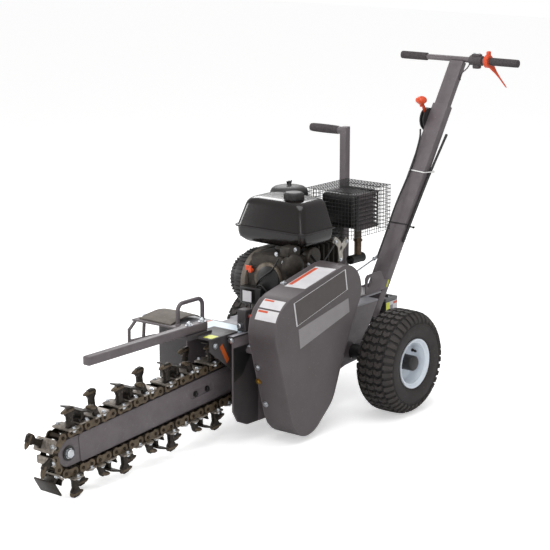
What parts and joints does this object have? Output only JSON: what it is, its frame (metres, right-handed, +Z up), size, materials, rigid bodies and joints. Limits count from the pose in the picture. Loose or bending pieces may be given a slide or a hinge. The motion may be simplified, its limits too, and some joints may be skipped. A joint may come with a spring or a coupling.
{
  "type": "walk-behind trencher",
  "caption": "Two-wheeled walk-behind trencher with a toothed digging chain on a boom, belt guard, horizontal-shaft engine, telescoping T-handle column and lift lever.",
  "frame": {"origin": "on the ground, midway along the length between the digging nose and the T-handle side and midway between the wheels", "axes": "+X along the machine from the digging nose towards the T-handle, +Y towards the side with the recoil starter, +Z up"},
  "size_m": [2.4508, 0.778, 1.2208],
  "materials": {
    "frame_paint": "satin grey powder coat",
    "guard_paint": "satin dark grey powder coat",
    "deck_paint": "satin light grey paint",
    "chain_steel": "oiled dark steel",
    "bare_steel": "machined",
    "zinc": "zinc plated",
    "tyre_rubber": "matt black rubber",
    "rim_paint": "white paint",
    "black_parts": "satin black",
    "black_plastic": "matt black",
    "rubber": "matt black",
    "cast_aluminium": "as cast",
    "gloss_black": "gloss black",
    "blower_paint": "satin warm grey",
    "orange_plastic": "orange",
    "red_plastic": "red",
    "foam": "closed foam"
  },
  "bodies": {
    "frame": {"chain_upper": "chain_steel", "chain_lower": "chain_steel", "boom_bar": "frame_paint", "nose_pin": "zinc", "frame_plate_near": "frame_paint", "frame_plate_far": "frame_paint", "engine_deck": "deck_paint", "housing_lid": "deck_paint", "axle": "black_parts", "restraint_bar": "frame_paint", "bar_bracket": "frame_paint", "lift_handle": "frame_paint", "flap_frame": "frame_paint", "rubber_flap": "rubber", "switch_box": "black_plastic", "belt_guard": "guard_paint", "guard_back": "frame_paint", "drive_belt": "rubber", "crankcase": "cast_aluminium", "cylinder_head": "cast_aluminium", "fuel_tank": "gloss_black", "blower_housing": "blower_paint", "recoil_cover": "black_parts", "air_cleaner": "black_plastic", "muffler": "black_parts", "muffler_cage": "black_parts", "lower_column": "frame_paint", "column_base": "frame_paint", "quadrant": "black_plastic", "clutch_cable": "rubber", "clutch_rod": "zinc", "conduit": "rubber", "battery_tray": "black_parts", "battery": "black_plastic"},
    "handle": {"upper_column": "frame_paint", "tee_handle": "frame_paint", "grip_near": "foam", "grip_far": "foam", "throttle_housing": "black_plastic"},
    "throttle_lever": {"throttle_lever": "orange_plastic"},
    "clutch_lever": {"clutch_lever": "orange_plastic"},
    "idler_arm": {"idler_arm": "frame_paint"},
    "idler_pulley": {"idler_pulley": "bare_steel"},
    "crankshaft": {"engine_pulley": "bare_steel"},
    "head_drive": {"head_shaft": "bare_steel", "drive_sprocket": "bare_steel", "driven_pulley": "bare_steel"},
    "nose_wheel": {"nose_wheel": "bare_steel"},
    "wheel_near": {"tyre_near": "tyre_rubber", "rim_near": "rim_paint", "hub_cap_near": "black_plastic"},
    "wheel_far": {"tyre_far": "tyre_rubber", "rim_far": "rim_paint", "hub_cap_far": "black_plastic"},
    "lift_lever": {"lift_lever": "frame_paint"},
    "fuel_cap": {"fuel_cap": "black_plastic"},
    "recoil_handle": {"recoil_handle": "black_plastic"},
    "choke_lever": {"choke_lever": "orange_plastic"},
    "stop_button": {"stop_button": "red_plastic"},
    "switch_knob": {"switch_knob": "zinc"}
  },
  "joints": [
    {"name": "wheel_near_spin", "type": "hinge", "parent": "frame", "child": "wheel_near", "pos_m": [0.321, -0.313, 0.19006], "axis": [0, 1, 0], "continuous": true},
    {"name": "wheel_far_spin", "type": "hinge", "parent": "frame", "child": "wheel_far", "pos_m": [0.321, 0.313, 0.19006], "axis": [0, 1, 0], "continuous": true},
    {"name": "handle_slide", "type": "slide", "parent": "frame", "child": "handle", "axis": [0.5446, 0, 0.8387], "range_m": [-0.08, 0.08]},
    {"name": "throttle_lever_turn", "type": "hinge", "parent": "handle", "child": "throttle_lever", "pos_m": [1.16496, -0.136, 1.19477], "axis": [0, 1, 0], "range_deg": [-35, 0]},
    {"name": "clutch_lever_turn", "type": "hinge", "parent": "frame", "child": "clutch_lever", "pos_m": [1.01737, 0.0463, 0.9675], "axis": [0, 1, 0], "range_deg": [-55, 0]},
    {"name": "idler_arm_turn", "type": "hinge", "parent": "frame", "child": "idler_arm", "pos_m": [-0.264, -0.2, 0.4], "axis": [0, 1, 0], "range_deg": [0, 2.5]},
    {"name": "idler_pulley_spin", "type": "hinge", "parent": "idler_arm", "child": "idler_pulley", "pos_m": [-0.148, -0.212, 0.433], "axis": [0, 1, 0], "continuous": true},
    {"name": "head_drive_spin", "type": "hinge", "parent": "frame", "child": "head_drive", "pos_m": [-0.164, 0, 0.224], "axis": [0, 1, 0], "continuous": true, "deforming": ["chain_upper", "chain_lower"]},
    {"name": "crankshaft_spin", "type": "hinge", "parent": "frame", "child": "crankshaft", "pos_m": [0.041, 0, 0.49], "axis": [0, 1, 0], "continuous": true},
    {"name": "nose_wheel_spin", "type": "hinge", "parent": "frame", "child": "nose_wheel", "pos_m": [-1.08838, 0, 0.15093], "axis": [0, 1, 0], "continuous": true},
    {"name": "lift_lever_turn", "type": "hinge", "parent": "frame", "child": "lift_lever", "pos_m": [0.566, 0.122, 0.392], "axis": [0, 1, 0], "range_deg": [-15, 10]},
    {"name": "fuel_cap_turn", "type": "hinge", "parent": "frame", "child": "fuel_cap", "pos_m": [0.094, 0, 0.8], "axis": [0, 0, 1], "range_deg": [0, 90]},
    {"name": "recoil_pull", "type": "slide", "parent": "frame", "child": "recoil_handle", "axis": [1, 0, 0], "range_m": [0, 0.15], "stiffness_N_per_m": 20, "springref_m": -0.1},
    {"name": "choke_turn", "type": "hinge", "parent": "frame", "child": "choke_lever", "pos_m": [-0.063, 0.072, 0.542], "axis": [1, 0, 0], "range_deg": [0, 40]},
    {"name": "stop_button_press", "type": "slide", "parent": "frame", "child": "stop_button", "axis": [0, 1, 0], "range_m": [0, 0.003], "stiffness_N_per_m": 300, "springref_m": -0.001},
    {"name": "switch_knob_turn", "type": "hinge", "parent": "frame", "child": "switch_knob", "pos_m": [-0.316, -0.085, 0.416], "axis": [1, 0, 0], "range_deg": [0, 90]}
  ],
  "couplings": [
    {"joint": "crankshaft_spin", "follows": "head_drive_spin", "ratio": 1.84},
    {"joint": "nose_wheel_spin", "follows": "head_drive_spin", "ratio": 1.124},
    {"joint": "idler_pulley_spin", "follows": "head_drive_spin", "ratio": -3},
    {"joint": "idler_arm_turn", "follows": "clutch_lever_turn", "ratio": -0.04545}
  ]
}
